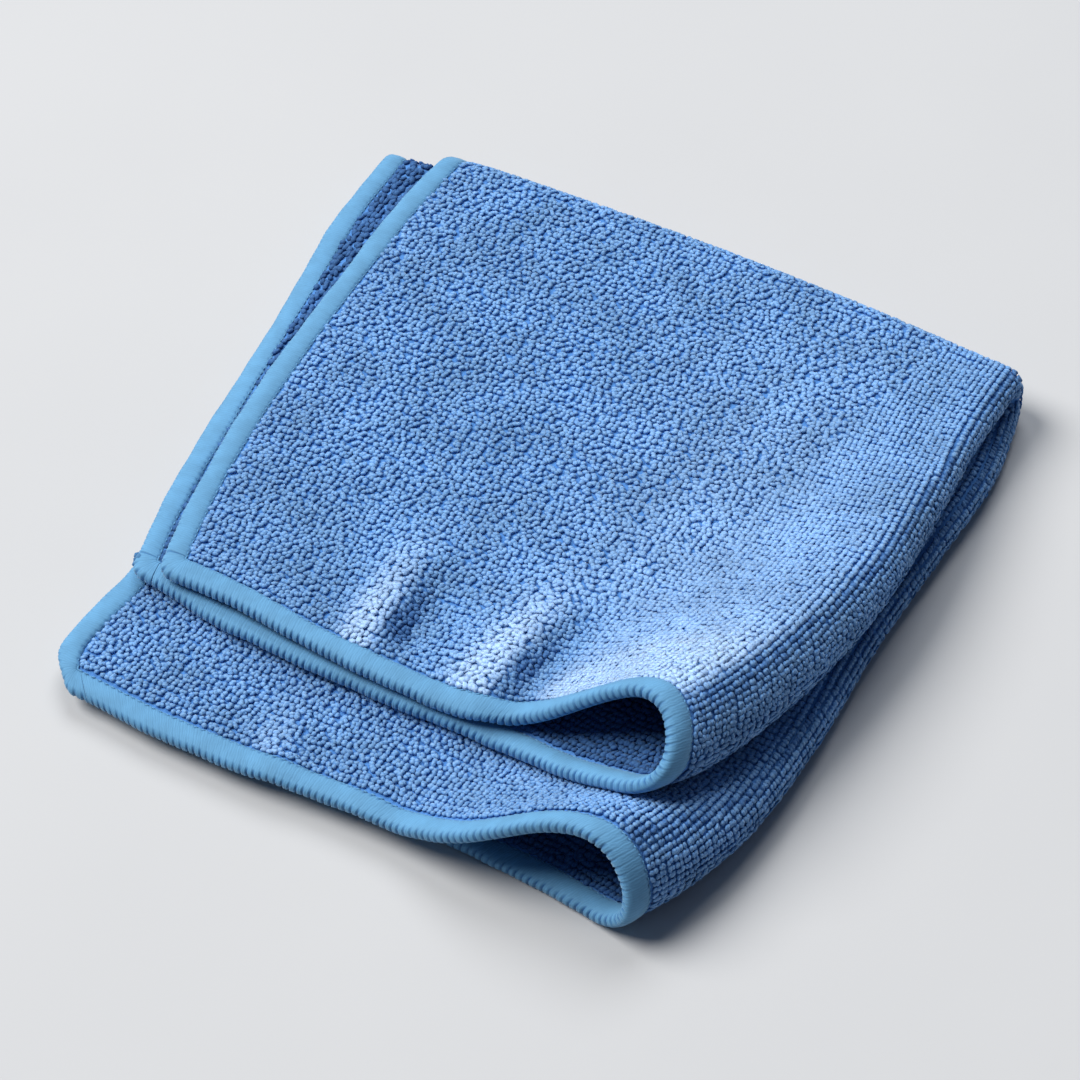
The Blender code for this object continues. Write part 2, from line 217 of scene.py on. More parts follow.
def loop_point(section, zones, swelling, hem_x):
    """(distance in from the crest, rise above the level side) of one side of the folded section."""
    gap = LAYER_PITCH + section.swell
    crest_rise = gap / 2 - CREST_DROP * section.swell
    level_nose = LAYER_PITCH / 2 + LEVEL_NOSE * section.swell
    nose = np.where(swelling, nose_depth(section), level_nose)
    turn = np.clip(zones, 0, 1) * math.pi / 2
    side = nose + (section.reach - nose) * (zones - 1)
    flat = section.reach + (section.crest_x - hem_x - section.reach) * (zones - 2)
    inward = np.where(zones < 1, nose * (1 - np.cos(turn)), np.where(zones < 2, side, flat))
    nose_rise = crest_rise + np.where(swelling, gap - crest_rise, -crest_rise) * np.sin(turn)
    side_rise = np.where(swelling, swelling_rise(section, inward), 0.0)
    return inward, np.where(zones < 1, nose_rise, side_rise)


def set_back(section, rise):
    """How far the loop leans back at a height above its level side."""
    return section.lean * rise**2 / (LAYER_PITCH + section.swell)


def lower_loop_lift(x, y):
    """How far the lower loop raises what lies on it."""
    level = FOLD_Y - y + math.pi / 2 * (OUTER_RADIUS - LAYER_PITCH)
    along = level
    for _ in range(LEAN_ROUNDS):
        section = row_at(LOWER_HALF, along)
        rise = swelling_rise(section, np.maximum(section.crest_x - x, nose_depth(section)))
        along = level + set_back(section, rise)
    return rise - LAYER_PITCH


def ridge_height(x, y, ridges):
    """Height of the soft ridges at a place on their layer."""
    total = 0.0
    for ridge in ridges:
        run_x, run_y = ridge.back_x - ridge.front_x, ridge.back_y - ridge.front_y
        part = ((x - ridge.front_x) * run_x + (y - ridge.front_y) * run_y) / (run_x**2 + run_y**2)
        beside_x = x - ridge.front_x - part * run_x
        beside_y = y - ridge.front_y - part * run_y
        beside = np.hypot(beside_x, beside_y) / ridge.wide
        fade = (1 - smooth(part / RIDGE_TAIL)) * smooth(1 + part / RIDGE_START)
        total += ridge.high * np.exp(-(beside**2)) * fade
    return total


def back_bend(x, y):
    """How far the bend of the back fold moves a place in Y."""
    share = np.clip(y / FOLD_Y, 0.0, BACK_BEND_LIMIT) ** 2
    bend = np.where(x > BACK_BEND_X, BACK_BEND_RIGHT, BACK_BEND_LEFT)
    return -share * bend * ((x - BACK_BEND_X) / BACK_BEND_SPAN) ** 2


def corner_back(x, along):
    """How far a left corner of the inner sheet is drawn back."""
    upper = along >= 0
    hem = np.where(upper, UPPER_HALF[-1].along, LOWER_HALF[-1].along)
    most = np.where(upper, UPPER_CORNER_BACK, LOWER_CORNER_BACK)
    from_hem = (hem - abs(along)) / CORNER_DEEP
    return most * smooth((CORNER_END_X - x) / CORNER_SPAN) * (1 - smooth(from_hem))


def flare_back(x, along, flare):
    """How far back a left hem lies beside the back fold."""
    share = smooth((flare.from_x - x) / (flare.from_x - flare.to_x))
    return flare.back * share * (1 - smooth(abs(along) / FLARE_LENGTH))


def front_slip(x, along, risen):
    """How far forward a place has slipped; risen is 0 on the level side of its loop and 1 on the other."""
    row = row_at(FRONT_SLIPS, x)
    level = np.where(along >= 0, row.layer_2, row.layer_4)
    swelling = np.where(along >= 0, row.layer_1, row.layer_3)
    return (level + (swelling - level) * risen) * smooth(abs(along) / SLIP_LENGTH)


def place(across, along):
    """The middle of the cloth at a place, in space."""
    across, along = np.broadcast_arrays(np.asarray(across, float), np.asarray(along, float))
    upper, outer = along >= 0, across >= 0
    section = section_at(along)
    hem_x = np.where(outer, section.outer_hem_x, section.inner_hem_x)
    inward, rise = loop_point(section, abs(across), upper == outer, hem_x)
    depth = np.where(upper, LAYER_PITCH - rise, rise)
    risen = np.where(abs(across) < 1, rise / (LAYER_PITCH + section.swell), upper == outer)
    held = LAYER_PITCH * np.where(upper, 1 - risen, risen)
    quarter = math.pi / 2 * (OUTER_RADIUS - held)
    turn = along / (OUTER_RADIUS - held)
    folded = abs(along) < quarter
    x = section.crest_x - inward
    y = np.where(folded, FOLD_Y + (OUTER_RADIUS - depth) * np.cos(turn), FOLD_Y - (abs(along) - quarter))
    z = FOLD_Z + (OUTER_RADIUS - depth) * np.where(folded, np.sin(turn), np.where(upper, 1, -1))
    y += set_back(section, rise)
    y -= front_slip(x, along, risen)
    flares = flare_back(x, along, OUTER_FLARE), flare_back(x, along, INNER_FLARE)
    y += back_bend(x, y) + np.where(outer, *flares)
    y += np.where(outer, 0.0, corner_back(x, along))
    z += np.where(upper, lower_loop_lift(x, y), 0.0)
    ridges = np.where(upper & outer, ridge_height(x, y, RIDGES + UPPER_CREASES), 0.0)
    ridges += np.where(upper | outer, 0.0, ridge_height(x, y, LOWER_CREASES))
    z += ridges * smooth(abs(across) - RIDGE_ZONE)
    z -= np.where(outer, 0.0, LEFT_SAG * smooth((LEFT_SAG_FROM_X - x) / SAG_SPAN))
    near_front = smooth((-along - LOWER_HALF[-1].along + SAG_SPAN) / SAG_SPAN)
    z -= np.where(outer | upper, 0.0, FRONT_SAG * near_front * smooth(-across - 2))
    return np.stack((x, y, z), axis=-1) - ORIGIN


def normal(across, along):
    """The cloth's normal, towards the inside of its round loop: down on layer 1 and up on layer 2."""
    before = np.maximum(across - ACROSS_PROBE, -HEM_ZONE)
    after = np.minimum(across + ACROSS_PROBE, HEM_ZONE)
    over = place(after, along) - place(before, along)
    forward = place(across, along + PROBE) - place(across, along - PROBE)
    return unit(np.cross(forward, over))


# ---------------------------------------------------------------- the knitted ground

BAND_WIDE = 0.0057      # the overlocked edge
GROUND_THICK = 0.0019   # the knit between the two piles
GROUND_INSET = 0.0022   # the ground ends this far inside the band's outer edge
HALF_WIDTH = 0.1500     # from crest to hem, flat

# Share of the way from crest to hem, up to which the ground's mesh has columns this share apart.
ShareStep = namedtuple("ShareStep", "upto step")
GROUND_COLUMNS = (ShareStep(0.02, 0.004), ShareStep(0.12, 0.010), ShareStep(1.00, 0.0175))
GROUND_ROW = 0.0030     # from one row of the mesh to the next
FOLD_ROW = 0.0012       # the same within this distance of the back fold
FOLD_ROWS_UPTO = 0.0132

FINE_ZONES = np.linspace(0, HEM_ZONE, 241)      # `across` of one side in fine steps, for measuring lengths
CREST_SHIFT = 1e-9      # so that the crest itself counts with the outer sheet


def hem_zone(outer, along, inset):
    """`across` at a distance in from the left hem."""
    section = section_at(along)
    hem_x = np.where(outer, section.outer_hem_x, section.inner_hem_x)
    zones = HEM_ZONE - inset / (section.crest_x - hem_x - section.reach)
    return np.where(outer, zones, -zones)


def zones_at(along, shares, margin=0.0):
    """`across` for each place along and each signed share of the way from the crest to the margin."""
    zones = np.empty((len(along), len(shares)))
    for sign in (-1, 1):
        path = place(sign * FINE_ZONES[None, :], along[:, None])
        steps = np.linalg.norm(np.diff(path, axis=1), axis=2)
        reach = np.concatenate((np.zeros((len(along), 1)), steps.cumsum(axis=1)), axis=1)
        chosen = np.sign(shares + CREST_SHIFT) == sign
        for row, lengths in enumerate(reach):
            wanted = abs(shares[chosen]) * (lengths[-1] - margin)
            zones[row, chosen] = sign * np.interp(wanted, lengths, FINE_ZONES)
    return zones


def ground_shares():
    """Signed shares of the ground's columns, closer together at the noses."""
    half = [0.0]
    for piece in GROUND_COLUMNS:
        count = round((piece.upto - half[-1]) / piece.step)
        half += list(np.linspace(half[-1], piece.upto, count + 1)[1:])
    half = np.array(half)
    return np.concatenate((-half[:0:-1], half))


def ground_rows():
    """Places along of the ground's rows, closer together at the back fold."""
    lower_end = LOWER_HALF[-1].along - GROUND_INSET
    upper_end = UPPER_HALF[-1].along - GROUND_INSET
    lower = np.linspace(-lower_end, -FOLD_ROWS_UPTO, round((lower_end - FOLD_ROWS_UPTO) / GROUND_ROW))
    fold = np.arange(-FOLD_ROWS_UPTO + FOLD_ROW, FOLD_ROWS_UPTO - FOLD_ROW / 2, FOLD_ROW)
    upper = np.linspace(FOLD_ROWS_UPTO, upper_end, round((upper_end - FOLD_ROWS_UPTO) / GROUND_ROW))
    return np.concatenate((lower, fold, upper))


def settled(points):
    """Points, kept above the surface that the cloth lies on."""
    points[..., 2] = np.maximum(points[..., 2], 0.0)
    return points


def ground_mesh():
    """The panel without its pile, as points and faces: two sides, a grid each, and the rim between them."""
    along = ground_rows()
    shares = ground_shares()
    zones = zones_at(along, shares, GROUND_INSET)
    places = np.broadcast_to(along[:, None], zones.shape)
    middle, off = place(zones, places), normal(zones, places) * GROUND_THICK / 2
    points = settled(np.concatenate([(middle + off).reshape(-1, 3), (middle - off).reshape(-1, 3)]))
    rows, columns = zones.shape
    corner = (np.arange(rows - 1)[:, None] * columns + np.arange(columns - 1)[None, :]).ravel()
    ring = np.stack((corner, corner + columns, corner + columns + 1, corner + 1), axis=1)
    one_side = rows * columns
    rim = list(range(columns))
    rim += [row * columns + columns - 1 for row in range(1, rows)]
    rim += [one_side - 1 - column for column in range(1, columns)]
    rim += [row * columns for row in range(rows - 2, 0, -1)]
    sides = [(here, there, one_side + there, one_side + here) for here, there in zip(rim, rim[1:] + rim[:1])]
    faces = ring.tolist() + (one_side + ring[:, ::-1]).tolist() + sides
    return points.tolist(), faces


# ---------------------------------------------------------------- node trees

def socket(sockets, name):
    """The socket of that name that is in use, or the one at that number."""
    if isinstance(name, int):
        return sockets[name]
    return next(item for item in sockets if item.name == name and item.enabled)


def feed(tree, node, inputs):
    """Gives a node's inputs, by name or by number, their values or links."""
    for name, value in inputs.items():
        target = socket(node.inputs, name)
        if isinstance(value, bpy.types.NodeSocket):
            tree.links.new(value, target)
        else:
            target.default_value = value


def add_node(tree, kind, inputs=None, **settings):
    """A new node with these settings and inputs."""
    node = tree.nodes.new(kind)
    for name, value in settings.items():
        setattr(node, name, value)
    feed(tree, node, inputs or {})
    return node


def new_group(name, kind, inputs, outputs):
    """(a node group, the sockets of its inputs); an input is given by its socket type and its value."""
    tree = bpy.data.node_groups.new(name, kind)
    for title, (socket_type, value) in inputs.items():
        item = tree.interface.new_socket(title, in_out="INPUT", socket_type="NodeSocket" + socket_type)
        if value is not None:
            item.default_value = value
    for title, socket_type in outputs.items():
        tree.interface.new_socket(title, in_out="OUTPUT", socket_type="NodeSocket" + socket_type)
    return tree, add_node(tree, "NodeGroupInput").outputs


def math_node(tree, operation, *values):
    """The output of a Math node."""
    return add_node(tree, "ShaderNodeMath", dict(enumerate(values)), operation=operation).outputs[0]


def combined(tree, x, y, z):
    """The vector of three values."""
    return add_node(tree, "ShaderNodeCombineXYZ", {"X": x, "Y": y, "Z": z}).outputs[0]


def parts_of(tree, vector):
    """The X, Y and Z sockets of a vector."""
    return add_node(tree, "ShaderNodeSeparateXYZ", {0: vector}).outputs


def mixed_color(tree, share, first, second, blend="MIX"):
    """The colour output of a Mix node."""
    inputs = {"Factor": share, "A": first, "B": second}
    node = add_node(tree, "ShaderNodeMix", inputs, data_type="RGBA", blend_type=blend)
    return socket(node.outputs, "Result")


# ---------------------------------------------------------------- the pile

COURSE = 0.00190        # from one row of loops to the next, along the cloth
WALE = 0.00138          # from one loop to the next in a row
PILE_OVER_BAND = 0.0001     # how far the pile reaches over the band
LUMP_RISE = 0.00033     # of a lump's middle above the ground
POINT_JITTER = 0.00015  # how far a lump may stray from its crossing
SIZE_SPREAD = 0.18
SHADE_SPREAD = 0.10
SEED = 7

# The cloth's two faces, by their sign on normal(): inside and outside the round loops.
INSIDE = 1
OUTSIDE = -1

# The lumps of one piece. outer: whether they are on the outer sheet, or None for both. from_along and
# to_along: from where to where. near and far: the same across, as shares of the way from crest to hem.
# high: half a lump's height. wide and long: their spacing, in columns and rows. shade: how bright they are,
# below 1 with painted shade inside the loops.
Pile = namedtuple("Pile", "name face outer from_along to_along near far high wide long shade")
FRONT = 1.0             # as far as the front hem
TWIN = 0.5              # two lumps make one loop
PILES = (
    Pile("pile_top_back", OUTSIDE, True, 0.0060, 0.0720, 0, 1, 0.00045, 1.0, TWIN, 1.0),
    Pile("pile_top_front", OUTSIDE, True, 0.0720, FRONT, 0, 1, 0.00045, 1.0, TWIN, 1.0),
    Pile("pile_upper_under", OUTSIDE, False, 0.0060, FRONT, 0, 1, 0.00045, 1.0, 1.0, 1.0),
    Pile("pile_back_fold", OUTSIDE, True, -0.0100, 0.0060, 0, 1, 0.00045, 1.0, TWIN, 1.0),
    Pile("pile_back_fold_inner", OUTSIDE, False, -0.0060, 0.0060, 0, 1, 0.00045, 1.0, 1.0, 1.0),
    Pile("pile_lower_top", OUTSIDE, False, -FRONT, -0.0060, 0, 1, 0.00045, 0.97, TWIN, 1.0),
    Pile("pile_lower_side", OUTSIDE, True, -FRONT, -0.0100, 0, 0.14, 0.00045, 1.0, 1.0, 1.0),
    Pile("pile_bottom", OUTSIDE, True, -FRONT, -0.0100, 0.14, 1, 0.00050, 1.8, 1.8, 1.0),
    Pile("pile_upper_inside", INSIDE, None, 0.0000, FRONT, 0, 1, 0.00045, 1.0, 0.9, 0.58),
    Pile("pile_lower_inside", INSIDE, None, -FRONT, 0.0000, 0, 1, 0.00045, 1.0, 0.9, 0.58),
)
LUMP_WIDE = 0.00083     # half a lump's width and length
LUMP_LONG = 0.00128
PAIRED = 0.00010        # how much closer together the twin lumps of a loop lie
LUMP_PINCH = 0.04       # how much narrower than a ball a lump is at its tip
WANDER = 0.00042        # of the rows from straight lines
WANDER_OVER = (0.0150, 0.0110)      # how long its waves are, across and along
WANDER_FADE = 0.25      # share of the way from hem to crest in which it fades in

# Painted light and shade on the outer pile of layer 1 and of layer 3, each row's height being how strongly:
# rows above 0 paint the ridges' lit flanks paler and brush their pile flatter, rows below 0 paint shade in
# troughs and darker patches.
UPPER_STREAKS = (
    Ridge(0.0438, 0.0020, 0.0436, 0.0330, 0.0048, 1.4),
    Ridge(0.0700, 0.0010, 0.0750, 0.0350, 0.0048, 1.4),
    Ridge(0.0920, 0.0080, 0.1290, 0.0320, 0.0085, 1.25),
    Ridge(0.1080, 0.0100, 0.1000, 0.1300, 0.0320, 0.42),
    Ridge(0.0515, 0.0060, 0.0520, 0.0310, 0.0048, -1.0),
    Ridge(0.0785, 0.0060, 0.0835, 0.0310, 0.0048, -1.0),
    Ridge(0.0250, 0.0050, 0.0260, 0.0300, 0.0120, -0.55),
)
LOWER_STREAKS = (
    Ridge(0.0390, -0.0250, 0.0370, -0.0080, 0.0045, 0.40),
    Ridge(0.0550, -0.0220, 0.0560, -0.0040, 0.0110, -0.60),
)
STREAK_SHADE = 0.20     # how much paler the painted light makes the pile at most, and the painted shade darker
STREAK_FLAT = 0.55      # and how much lower, broader and deeper its lumps are
STREAK_SPREAD = 0.38
STREAK_SINK = 0.00012
SIDE_FLAT = 0.35        # how much flatter the pile is where it faces right, on the round folds
PALE_UPTO = 0.46        # how far the cloth may turn to the right, away from the light, before the painted light is gone
PALE_FADE = 0.32        # over how much of that turn it fades
TURN_SHADE = 0.26       # painted shade: how much darker the pile is where it turns from facing up to facing right, away from the light
TURN_ABRUPT = 3         # and how narrow that darker strip is

# Directions in which a spot on the cloth may be seen: so many turns at each height, in degrees. Pile is
# only made near spots that are seen. They are this far apart, and are tried from this far off the ground.
VIEW_TURNS = 12
VIEW_HEIGHTS = (-60, -20, 8, 25, 45, 70)
TRY_ALONG = 0.0032
TRY_SHARE = 0.0200
TRY_ABOVE = 0.0014
TRY_SLOPE = 0.1         # a direction that is less steep to the cloth isn't tried


def view_directions():
    """Unit vectors to where the cloth may be seen from."""
    found = []
    for height in VIEW_HEIGHTS:
        level = math.cos(math.radians(height))
        for turn in np.arange(VIEW_TURNS) * 2 * math.pi / VIEW_TURNS:
            found.append((level * math.cos(turn), level * math.sin(turn), math.sin(math.radians(height))))
    return np.array(found)


def seen_map(tree, face):
    """(places along, shares, True where the cloth can be seen from outside) for one face of it."""
    along = np.arange(-LOWER_HALF[-1].along, UPPER_HALF[-1].along, TRY_ALONG)
    shares = np.arange(-1, 1 + TRY_SHARE / 2, TRY_SHARE)
    zones = zones_at(along, shares)
    places = np.broadcast_to(along[:, None], zones.shape)
    facing = normal(zones, places) * face
    spots = place(zones, places) + facing * (GROUND_THICK / 2 + TRY_ABOVE)
    directions = view_directions()
    open_ways = np.einsum("rci,di->rcd", facing, directions) > TRY_SLOPE
    seen = np.zeros(zones.shape, bool)
    rays = [Vector(direction) for direction in directions]
    for row, column in np.ndindex(seen.shape):
        spot = Vector(spots[row, column])
        ways = np.flatnonzero(open_ways[row, column])
        seen[row, column] = any(tree.ray_cast(spot, rays[way])[0] is None for way in ways)
    grown = seen.copy()
    for shift in ((0, 1), (0, -1), (1, 0), (-1, 0)):
        grown |= np.roll(seen, shift, (0, 1))
    return along, shares, grown


def pile_rows(pile):
    """Places along of a piece's rows of loops, counted from the front hems."""
    step = COURSE * pile.long
    upper_end = UPPER_HALF[-1].along - BAND_WIDE + PILE_OVER_BAND
    lower_end = LOWER_HALF[-1].along - BAND_WIDE + PILE_OVER_BAND
    lower = np.arange(step / 2 - lower_end, 0, step)
    upper = np.arange(upper_end - step / 2, 0, -step)[::-1]
    rows = np.concatenate((lower, upper))
    paired = PAIRED * (-1) ** np.arange(len(rows)) * (pile.long == TWIN)
    return (rows + paired)[(rows >= pile.from_along) & (rows < pile.to_along)]


def pile_places(pile, seen, rng):
    """(`across`, along) of one piece's lumps, at the crossings of rows and columns that can be seen."""
    count = round(HALF_WIDTH / WALE / pile.wide)
    half = (np.arange(count) + 0.5) / count
    half = half[(half >= pile.near) & (half < pile.far)]
    shares = {True: half, False: -half, None: np.concatenate((half, -half))}[pile.outer]
    rows = pile_rows(pile)
    zones = zones_at(rows, shares, BAND_WIDE - PILE_OVER_BAND)
    reach, phase = shares[None, :] * HALF_WIDTH, rng.uniform(0, 2 * math.pi, 2)
    bend = np.sin(reach / WANDER_OVER[0] + phase[0]) * np.sin(rows[:, None] / WANDER_OVER[1] + phase[1])
    inward = 1 - abs(shares[None, :])
    along = rows[:, None] + WANDER * bend * np.minimum(1, inward / WANDER_FADE)
    along += rng.normal(0, POINT_JITTER, zones.shape)
    zones += rng.normal(0, HEM_ZONE * POINT_JITTER / HALF_WIDTH, zones.shape)
    seen_along, seen_shares, seen_there = seen
    row = np.clip(np.searchsorted(seen_along, along), 0, len(seen_along) - 1)
    column = np.clip(np.searchsorted(seen_shares, shares), 0, len(seen_shares) - 1)
    kept = seen_there[row, column[None, :]]
    return zones[kept], along[kept]


def new_object(name, data):
    """A new object in the scene."""
    obj = bpy.data.objects.new(name, data)
    bpy.context.scene.collection.objects.link(obj)
    return obj


def points_object(name, points, values_of, material):
    """A mesh of loose points that carries named values, or vectors, for each."""
    mesh = bpy.data.meshes.new(name)
    mesh.from_pydata(points.tolist(), [], [])
    mesh.materials.append(material)
    for key, values in values_of.items():
        kind, field = ("FLOAT_VECTOR", "vector") if values.ndim > 1 else ("FLOAT", "value")
        mesh.attributes.new(key, kind, "POINT").data.foreach_set(field, values.ravel().astype(np.float32))
    return new_object(name, mesh)


def lump_tree():
    """Stands a soft lump on each point of the cloth, and makes each lump a little uneven."""
    tree, given = new_group("pile_lumps", "GeometryNodeTree", {
        "Geometry": ("Geometry", None),
        "Seed": ("Int", SEED),
        "Lean": ("Float", 0.30),
        "Twist": ("Float", 0.60),
        "Uneven": ("Float", 0.00030),
        "Uneven Size": ("Float", 0.0007),
        "Material": ("Material", None),
    }, {"Geometry": "Geometry"})

    def geometry_node(kind, inputs, **settings):
        return add_node(tree, "GeometryNode" + kind, inputs, **settings).outputs[0]

    def place_parts():
        return parts_of(tree, geometry_node("InputPosition", {}))

    def vector_of(name):
        node = add_node(tree, "GeometryNodeInputNamedAttribute", {"Name": name}, data_type="FLOAT_VECTOR")
        return socket(node.outputs, "Attribute")

    # One lump: a ball of radius 1, narrower towards its tip.
    lump = geometry_node("MeshIcoSphere", {"Radius": 1.0, "Subdivisions": 1})
    ball = place_parts()
    # tip: 0 at a lump's foot and 1 at its top; the pile's colour paints shade low and light high with it
    tip = math_node(tree, "MULTIPLY_ADD", ball["Z"], 0.5, 0.5)
    lump = geometry_node("StoreNamedAttribute", {"Geometry": lump, "Name": "tip", "Value": tip},
                         data_type="FLOAT", domain="POINT")
    narrower = math_node(tree, "MULTIPLY_ADD", ball["Z"], -LUMP_PINCH, 1.0)
    narrowed = [math_node(tree, "MULTIPLY", ball[axis], narrower) for axis in "XY"]
    lump = geometry_node("SetPosition", {"Geometry": lump, "Position": combined(tree, *narrowed, ball["Z"])})

    # Each stands up from the cloth, then leans and turns by chance.
    upright = add_node(tree, "FunctionNodeAxesToRotation",
                       {"Primary Axis": vector_of("facing"), "Secondary Axis": vector_of("course")},
                       primary_axis="Z", secondary_axis="Y").outputs[0]
    most = combined(tree, given["Lean"], given["Lean"], given["Twist"])
    least = add_node(tree, "ShaderNodeVectorMath", {0: most, "Scale": -1.0}, operation="SCALE").outputs[0]
    chance = add_node(tree, "FunctionNodeRandomValue", {"Min": least, "Max": most, "Seed": given["Seed"]},
                      data_type="FLOAT_VECTOR")
    turn = add_node(tree, "FunctionNodeEulerToRotation", {0: socket(chance.outputs, "Value")}).outputs[0]
    turned = add_node(tree, "FunctionNodeRotateRotation", {0: upright, 1: turn}, rotation_space="LOCAL")
    lumps = geometry_node("InstanceOnPoints", {"Points": given["Geometry"], "Instance": lump,
                                               "Rotation": turned.outputs[0], "Scale": vector_of("lump_size")})
    lumps = geometry_node("RealizeInstances", {0: lumps})

    # All are made uneven, and pressed flat where they would sink into what the cloth lies on.
    scale = math_node(tree, "DIVIDE", 1.0, given["Uneven Size"])
    cloud = add_node(tree, "ShaderNodeTexNoise", {"Scale": scale, "Detail": 1.0}, noise_dimensions="3D")
    centred = add_node(tree, "ShaderNodeVectorMath", {0: cloud.outputs["Color"], 1: (0.5, 0.5, 0.5)},
                       operation="SUBTRACT").outputs[0]
    shift = add_node(tree, "ShaderNodeVectorMath", {0: centred, "Scale": given["Uneven"]}, operation="SCALE")
    lumps = geometry_node("SetPosition", {"Geometry": lumps, "Offset": shift.outputs[0]})
    spot = place_parts()
    pressed = combined(tree, spot["X"], spot["Y"], math_node(tree, "MAXIMUM", spot["Z"], 0.0))
    lumps = geometry_node("SetPosition", {"Geometry": lumps, "Position": pressed})
    lumps = geometry_node("SetShadeSmooth", {0: lumps})
    lumps = geometry_node("SetMaterial", {0: lumps, "Material": given["Material"]})
    add_node(tree, "NodeGroupOutput", {0: lumps})
    return tree


def made_by(obj, tree, **inputs):
    """obj with the tree's result, for these inputs, as its plain mesh."""
    modifier = obj.modifiers.new(tree.name, "NODES")
    modifier.node_group = tree
    for item in tree.interface.items_tree:
        if item.in_out == "INPUT" and item.name in inputs:
            modifier[item.identifier] = inputs[item.name]
    graph = bpy.context.evaluated_depsgraph_get()
    mesh = bpy.data.meshes.new_from_object(obj.evaluated_get(graph), preserve_all_data_layers=True,
                                           depsgraph=graph)
    obj.modifiers.clear()
    mesh.materials.clear()
    mesh.materials.append(inputs["Material"])
    mesh.polygons.foreach_set("material_index", np.zeros(len(mesh.polygons), np.int32))
    points, obj.data = obj.data, mesh
    bpy.data.meshes.remove(points)
    for name in ("facing", "course", "lump_size"):
        mesh.attributes.remove(mesh.attributes[name])
    mesh.name = obj.name
    return obj


def on_cloth(zones, along, face, rise):
    """(points, facing, course) of what stands on a face of the cloth, this far above its middle."""
    facing = normal(zones, along) * face
    course = unit(place(zones, along + PROBE) - place(zones, along - PROBE))
    return place(zones, along) + facing * rise, facing, course


def brushed_and_lit_share(zones, along):
    """How far the outer pile of layers 1 and 3 is brushed flat and painted with light: 1 is palest, and below
    0 it has painted shade.
    """
    x, y, _ = np.moveaxis(place(zones, along) + ORIGIN, -1, 0)
    upper = ridge_height(x, y, UPPER_STREAKS)
    lower = ridge_height(x, y, LOWER_STREAKS)
    share = np.where((along >= 0) & (zones >= 0), upper, np.where((along < 0) & (zones < 0), lower, 0.0))
    aside = np.clip(OUTSIDE * normal(zones, along)[:, 0], 0, 1)
    return np.clip(share, -1, smooth((PALE_UPTO - aside) / PALE_FADE))


def add_pile(pile, seen, tree, material):
    """One piece of the pile."""
    rng = np.random.default_rng(SEED + PILES.index(pile))
    zones, along = pile_places(pile, seen[pile.face], rng)
    # Painted light on the ridges' lit flanks and painted shade in the troughs; the same share brushes the pile
    # flatter
    brushed_and_lit = brushed_and_lit_share(zones, along) if pile.face == OUTSIDE else np.zeros(len(zones))
    rise = GROUND_THICK / 2 + LUMP_RISE - STREAK_SINK * np.clip(brushed_and_lit, 0, 1)
    points, facing, course = on_cloth(zones, along, pile.face, rise[:, None])
    size = np.array([LUMP_WIDE * pile.wide, LUMP_LONG * pile.long, pile.high])
    size = size * rng.uniform(1 - SIZE_SPREAD, 1 + SIZE_SPREAD, (len(points), 3))
    shade = rng.uniform(1 - SHADE_SPREAD, 1 + SHADE_SPREAD, len(points))
    # Painted shade where the fold turns from facing up to facing right; pile.shade and the streaks add theirs
    # too
    aside = np.clip(facing[:, 0], 0, 1)
    turning = (4 * aside * (1 - aside)) ** TURN_ABRUPT
    shade *= pile.shade * (1 + STREAK_SHADE * brushed_and_lit) * (1 - TURN_SHADE * turning)
    brushed_and_lit = np.clip(brushed_and_lit, 0, 1)
    size *= 1 + brushed_and_lit[:, None] * (STREAK_SPREAD, STREAK_SPREAD, -STREAK_FLAT)
    size[:, 2] *= 1 - SIDE_FLAT * aside
    values_of = {"facing": facing, "course": course, "lump_size": size, "shade": shade, "brushed_and_lit": brushed_and_lit}
    obj = points_object(pile.name, points, values_of, material)
    return made_by(obj, tree, Material=material)


# ---------------------------------------------------------------- the overlocked edge

BAND_THICK = 0.0032
BAND_SIDES = 14         # faces of the mesh round the band
BAND_FULLNESS = 0.7     # 1 would be an ellipse, 0 a rectangle
ROUND_CORNER = 0.0030   # radius of three corners
SHARP_CORNER = 0.0012   # and of layer 3's
CORNER_STEPS = 13
DENSE_STEPS = 1500      # places along a hem, before the rings are spaced evenly
STITCH = 0.00158        # from one stitch to the next
STITCH_STEPS = 8        # rings of the mesh to a stitch
STITCH_LINE = 0.7       # where the stitches are spaced evenly: 1 is the outer edge, 0 the inner one
STITCH_BOW = 0.12       # how far the threads bow as they go round the band, in stitches
THREADS = 2             # ribs to a stitch
UNEVEN = (0.6, 1.2)     # how strong the marks of each stitch are
BAND_SEED = SEED + 30

# Marks on the band, by their height or depth, how dark their painted shade is, their place and length in
# angles round the band from its outer edge towards the face inside the loops, and their width in stitches.
RIB_HIGH = 0.00002
RIM_TEETH = 0.00004     # how much higher the ribs are along the outer edge
RIM_LONG = 0.35
SLOT_DEEP = 0.00042     # between the wraps of thread
SLOT_DARK = 1.5
SLOT_AT = math.radians(25)
SLOT_LONG = math.radians(17)
SLOT_WIDE = 0.19
SLOT_OUTSIDE = 0.90     # how deep those on the other face are, where the cloth lies level
SLOT_ON_SIDE = 0.35     # how deep the slots are on the left hems, set against the front ones
HOLE_DEEP = 0.00018     # the needle's holes, near the inner edge
HOLE_DARK = 0.9
HOLE_AT = math.radians(140)
HOLE_LONG = math.radians(13)
HOLE_WIDE = 0.22
CREASE_DARK = 0.7       # painted shade: the band darkens into its inner edge, where it meets the pile
CREASE_LONG = math.radians(24)
SEAM_DEEP = 0.00030     # where one hem's band laps over the next one's, sunk and with painted shade
SEAM_WIDE = 0.0004      # in metres
EDGE_WAVES = ((0.00012, 19), (0.00008, 53), (0.00005, 131))    # (height, times round the cloth)

